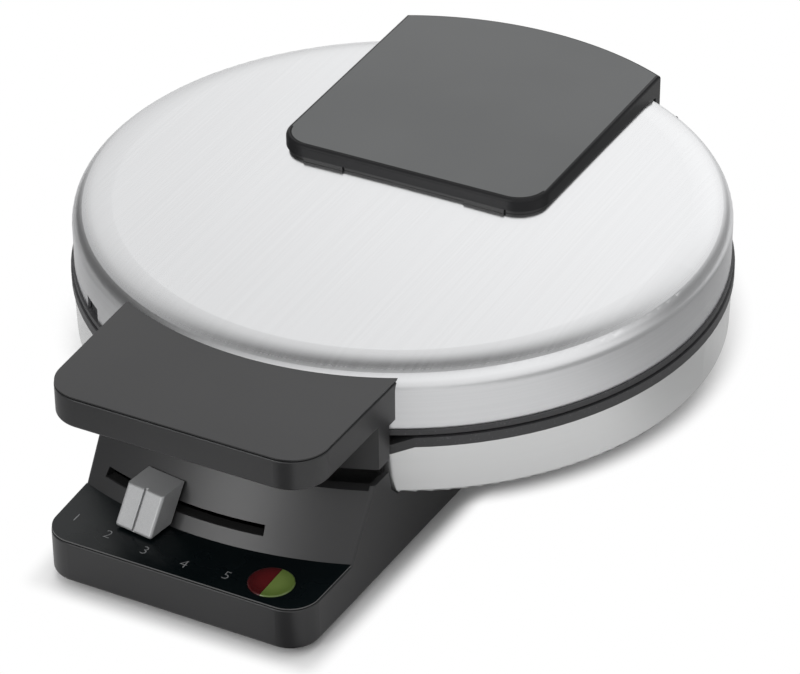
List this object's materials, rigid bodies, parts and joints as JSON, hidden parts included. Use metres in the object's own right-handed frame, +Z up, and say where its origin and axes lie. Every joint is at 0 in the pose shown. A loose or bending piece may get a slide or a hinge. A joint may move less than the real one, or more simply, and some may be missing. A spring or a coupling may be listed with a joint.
{
  "type": "waffle maker",
  "caption": "Round waffle maker with a domed brushed steel lid hinged at the rear, dark handle, gridded cooking plates and a front temperature slider.",
  "frame": {"origin": "middle of the whole object in plan, on the table", "axes": "+Z up, -Y towards the handle and the slider, +X to the right when facing the handle"},
  "size_m": [0.1962, 0.2426, 0.07],
  "materials": {
    "dark_plastic": "satin",
    "panel_plastic": "satin",
    "black_gloss": "gloss",
    "brushed_lid": "brushed",
    "brushed_pan": "brushed",
    "cast_plate": "non-stick",
    "silver_plastic": "satin",
    "red_glow": "gloss",
    "green_glow": "gloss",
    "foot_rubber": "matte",
    "plated_steel": "plated",
    "strap_steel": "black",
    "element_steel": "dull",
    "shield_sheet": "sheet",
    "block_plastic": "matte",
    "lamp_glass": "clear"
  },
  "bodies": {
    "base": {"base_housing": "dark_plastic", "bottom_cover": "dark_plastic", "rubber_feet": "foot_rubber", "bottom_screws": "plated_steel", "scale_plate": "black_gloss", "red_lens": "red_glow", "green_lens": "green_glow", "lamp_holder": "block_plastic", "indicator_lamps": "lamp_glass", "terminal_block": "block_plastic", "cord_grommet": "foot_rubber", "thermostat_body": "plated_steel", "thermostat_bracket": "plated_steel", "thermal_fuse": "plated_steel", "fuse_clip": "plated_steel", "lower_shell": "brushed_pan", "lower_waffle_plate": "cast_plate", "lower_heating_element": "element_steel", "lower_heat_shield": "shield_sheet", "lower_plate_screws": "plated_steel", "hinge_pins": "plated_steel"},
    "lid": {"lid_shell": "brushed_lid", "upper_waffle_plate": "cast_plate", "upper_heating_element": "element_steel", "upper_heat_shield": "shield_sheet", "handle_body": "dark_plastic", "handle_cap": "panel_plastic", "handle_screws": "plated_steel", "hinge_frame": "strap_steel", "hinge_cover": "panel_plastic", "hinge_screws": "plated_steel"},
    "slider": {"slider_knob": "silver_plastic", "slider_lever": "plated_steel", "thermostat_spindle": "plated_steel"}
  },
  "joints": [
    {"name": "lid_hinge", "type": "hinge", "parent": "base", "child": "lid", "pos_m": [0, 0.11775, 0.0445], "axis": [-1, 0, 0], "range_deg": [0, 105]},
    {"name": "temperature_slider", "type": "hinge", "parent": "base", "child": "slider", "pos_m": [0, 0.01705, 0.0212], "axis": [0, 0, 1], "range_deg": [-7.8, 14.2]}
  ]
}
